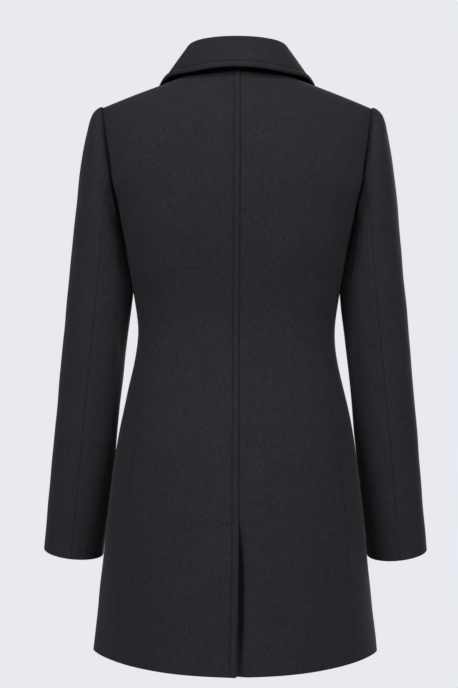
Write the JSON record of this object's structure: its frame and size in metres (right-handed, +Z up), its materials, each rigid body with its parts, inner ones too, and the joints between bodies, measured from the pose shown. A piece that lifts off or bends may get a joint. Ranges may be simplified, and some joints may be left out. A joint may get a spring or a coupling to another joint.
{
  "type": "single-breasted coat",
  "caption": "Fitted single-breasted wool coat, filled out as worn with no wearer: turn-down collar, notched lapels, seamed sleeves, narrow waist and a flared skirt with a centre back vent.",
  "frame": {"origin": "the middle of the neck opening, about level with the neck ends of the shoulder seams, where the coat hangs from its wearer", "axes": "+Z up along the coat's length, +Y out of the coat's front, so its back faces -Y, and +X towards the wearer's right"},
  "size_m": [0.5406, 0.304, 0.8461],
  "materials": {
    "charcoal_wool": "dark charcoal milled wool with a short nap and a faint sheen",
    "dark_horn": "polished near-black horn-like plastic"
  },
  "bodies": {
    "root": {"back_left": "charcoal_wool", "back_right": "charcoal_wool", "side_left": "charcoal_wool", "side_right": "charcoal_wool", "front_left": "charcoal_wool", "front_right": "charcoal_wool", "lapel_left": "charcoal_wool", "lapel_right": "charcoal_wool", "top_sleeve_left": "charcoal_wool", "top_sleeve_right": "charcoal_wool", "under_sleeve_left": "charcoal_wool", "under_sleeve_right": "charcoal_wool", "upper_collar": "charcoal_wool", "under_collar": "charcoal_wool", "button_1": "dark_horn", "button_2": "dark_horn", "button_3": "dark_horn"}
  },
  "joints": []
}
